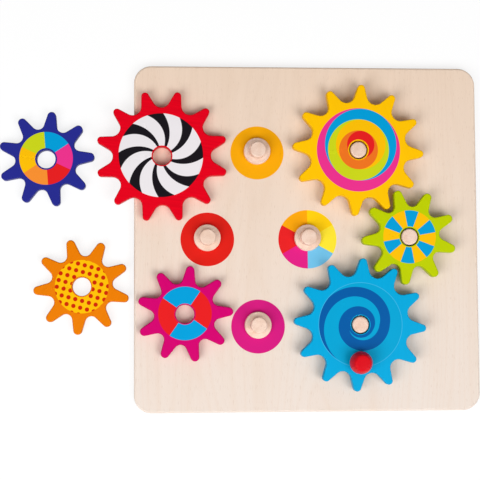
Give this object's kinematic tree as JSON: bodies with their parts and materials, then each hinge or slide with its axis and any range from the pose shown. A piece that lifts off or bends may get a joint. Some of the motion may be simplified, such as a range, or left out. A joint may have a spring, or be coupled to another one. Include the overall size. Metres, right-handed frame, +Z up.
{
  "type": "wooden crank gear toy",
  "caption": "Wooden gear toy: a square board with pegs, large and small painted gears that turn in mesh by a crank knob, and loose gears to put on the empty pegs.",
  "frame": {"origin": "centre of the board's underside", "axes": "+Z up from the board, +X to the right, towards the green gear's peg, +Y away from the player"},
  "size_m": [0.4151, 0.3, 0.042],
  "materials": {
    "board_plywood": "matte",
    "turned_beech": "satin",
    "knob_lacquer": "gloss",
    "blue_paint": "satin",
    "green_paint": "satin",
    "yellow_paint": "satin",
    "red_paint": "satin",
    "magenta_paint": "satin",
    "navy_paint": "satin",
    "orange_paint": "satin"
  },
  "bodies": {
    "board": {"board": "board_plywood", "peg_centre": "turned_beech", "peg_right": "turned_beech", "peg_upper_right": "turned_beech", "peg_upper_left": "turned_beech", "peg_left": "turned_beech", "peg_lower_left": "turned_beech", "peg_lower_right": "turned_beech"},
    "crank": {"crank_gear": "blue_paint", "crank_dowel": "turned_beech", "crank_knob": "knob_lacquer"},
    "green": {"green_gear": "green_paint"},
    "yellow": {"yellow_gear": "yellow_paint"},
    "red": {"red_gear": "red_paint"},
    "magenta": {"magenta_gear": "magenta_paint"},
    "navy": {"navy_gear": "navy_paint"},
    "orange": {"orange_gear": "orange_paint"}
  },
  "joints": [
    {"name": "crank_spin", "type": "hinge", "parent": "board", "child": "crank", "pos_m": [0.0435, -0.07534, 0.015], "axis": [0, 0, 1], "continuous": true},
    {"name": "green_spin", "type": "hinge", "parent": "board", "child": "green", "pos_m": [0.087, 0, 0.015], "axis": [0, 0, 1], "continuous": true},
    {"name": "yellow_spin", "type": "hinge", "parent": "board", "child": "yellow", "pos_m": [0.0435, 0.07534, 0.015], "axis": [0, 0, 1], "continuous": true},
    {"name": "red_lift", "type": "slide", "parent": "board", "child": "red", "axis": [0, 0, 1], "range_m": [0, 0.06]},
    {"name": "magenta_lift", "type": "slide", "parent": "board", "child": "magenta", "axis": [0, 0, 1], "range_m": [0, 0.06]},
    {"name": "navy_lift", "type": "slide", "parent": "board", "child": "navy", "axis": [0, 0, 1], "range_m": [0, 0.06]},
    {"name": "orange_lift", "type": "slide", "parent": "board", "child": "orange", "axis": [0, 0, 1], "range_m": [0, 0.06]}
  ],
  "couplings": [
    {"joint": "green_spin", "follows": "crank_spin", "ratio": -1.3333},
    {"joint": "yellow_spin", "follows": "crank_spin", "ratio": 1}
  ]
}
